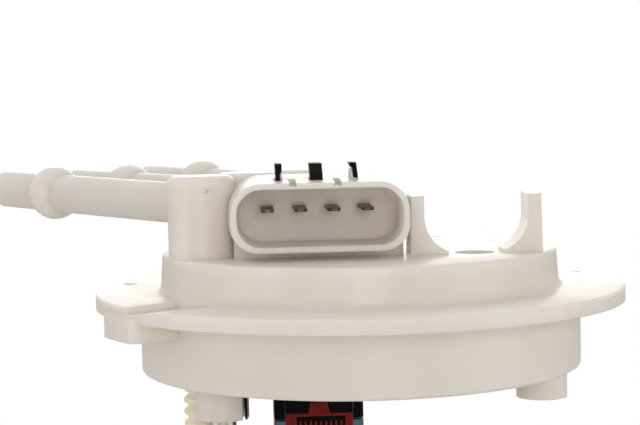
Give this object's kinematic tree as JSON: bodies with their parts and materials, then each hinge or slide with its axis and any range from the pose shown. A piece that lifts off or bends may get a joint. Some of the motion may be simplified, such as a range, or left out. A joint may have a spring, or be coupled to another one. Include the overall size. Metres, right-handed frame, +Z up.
{
  "type": "fuel pump module",
  "caption": "In-tank fuel pump module: moulded flange with line nipples and connector, sprung guide rods, reservoir, electric pump and float-arm level sender.",
  "frame": {"origin": "centre of the brim's underside, on the plane where the flange rests on the tank", "axes": "+Z up, out of the tank; the electrical connector faces -Y"},
  "size_m": [0.1544, 0.1404, 0.2661],
  "materials": {
    "acetal": "moulded natural acetal, softly glossy",
    "tinned_blade": "plated blade, dull",
    "dark_plastic": "dark moulded plastic",
    "black_plastic": "black moulded plastic",
    "blue_plastic": "dark blue moulded plastic",
    "red_plastic": "red moulded plastic",
    "steel": "ground steel",
    "spring_steel": "drawn wire",
    "grey_plastic": "moulded",
    "hose": "translucent nylon",
    "lead": "insulated wire",
    "seal": "moulded rubber",
    "aluminium": "machined",
    "ferrite": "sintered ferrite",
    "bronze": "plain",
    "carbon": "pressed carbon",
    "mesh": "woven nylon",
    "ceramic_card": "printed ceramic",
    "lamination": "stacked sheet",
    "copper": "copper",
    "black_foam": "closed-cell foam"
  },
  "bodies": {
    "flange": {"flange_cover": "acetal", "nipple_block": "acetal", "connector_shell": "acetal", "connector_terminals": "tinned_blade", "index_keys": "dark_plastic", "header_shroud": "black_plastic", "harness_plug": "blue_plastic", "plug_lock": "red_plastic", "guide_rods": "steel", "spring_retainers": "steel", "rod_stops": "steel", "guide_springs": "spring_steel", "rollover_body": "acetal", "rollover_cap": "acetal", "rollover_spring": "spring_steel", "feed_hose": "hose", "return_hose": "hose", "pump_leads": "lead", "sender_leads": "lead"},
    "reservoir": {"reservoir_bucket": "acetal", "reservoir_lid": "acetal", "fill_valve": "seal", "jet_pump": "black_plastic", "pump_can": "steel", "pump_inlet_cover": "aluminium", "pump_body_plate": "aluminium", "magnets": "ferrite", "magnet_keepers": "spring_steel", "pump_outlet_cap": "black_plastic", "shaft_bushes": "bronze", "brushes": "carbon", "brush_springs": "spring_steel", "check_cage": "acetal", "check_spring": "spring_steel", "pump_isolator": "seal", "pump_top_ring": "seal", "outlet_grommet": "seal", "pump_plug": "black_plastic", "inlet_strainer": "mesh", "hose_clamps": "steel", "sender_frame": "acetal", "sender_plug": "black_plastic", "resistor_card": "ceramic_card"},
    "rotor": {"motor_shaft": "steel", "armature": "lamination", "windings": "copper", "commutator": "copper", "impeller": "black_plastic"},
    "sender_arm": {"arm_hub": "black_plastic", "contact_wiper": "bronze", "float_arm": "steel", "level_float": "black_foam", "float_clip": "black_plastic"},
    "check_valve": {"check_poppet": "black_plastic"},
    "valve_float": {"rollover_float": "grey_plastic"}
  },
  "joints": [
    {"name": "reservoir_slide", "type": "slide", "parent": "flange", "child": "reservoir", "axis": [0, 0, 1], "range_m": [0, 0.035], "stiffness_N_per_m": 600, "springref_m": -0.04, "deforming": ["guide_springs", "feed_hose", "return_hose", "pump_leads", "sender_leads"]},
    {"name": "rotor_spin", "type": "hinge", "parent": "reservoir", "child": "rotor", "pos_m": [0.008, -0.006, -0.18], "axis": [0, 0, 1], "continuous": true},
    {"name": "float_arm_pivot", "type": "hinge", "parent": "reservoir", "child": "sender_arm", "pos_m": [0.0432, 0.008, -0.165], "axis": [-1, 0, 0], "range_deg": [0, 82]},
    {"name": "check_valve_lift", "type": "slide", "parent": "reservoir", "child": "check_valve", "axis": [0, 0, 1], "range_m": [0, 0.0025], "stiffness_N_per_m": 200, "springref_m": -0.003, "deforming": ["check_spring"]},
    {"name": "valve_float_lift", "type": "slide", "parent": "flange", "child": "valve_float", "axis": [0, 0, 1], "range_m": [0, 0.0039], "deforming": ["rollover_spring"]}
  ]
}
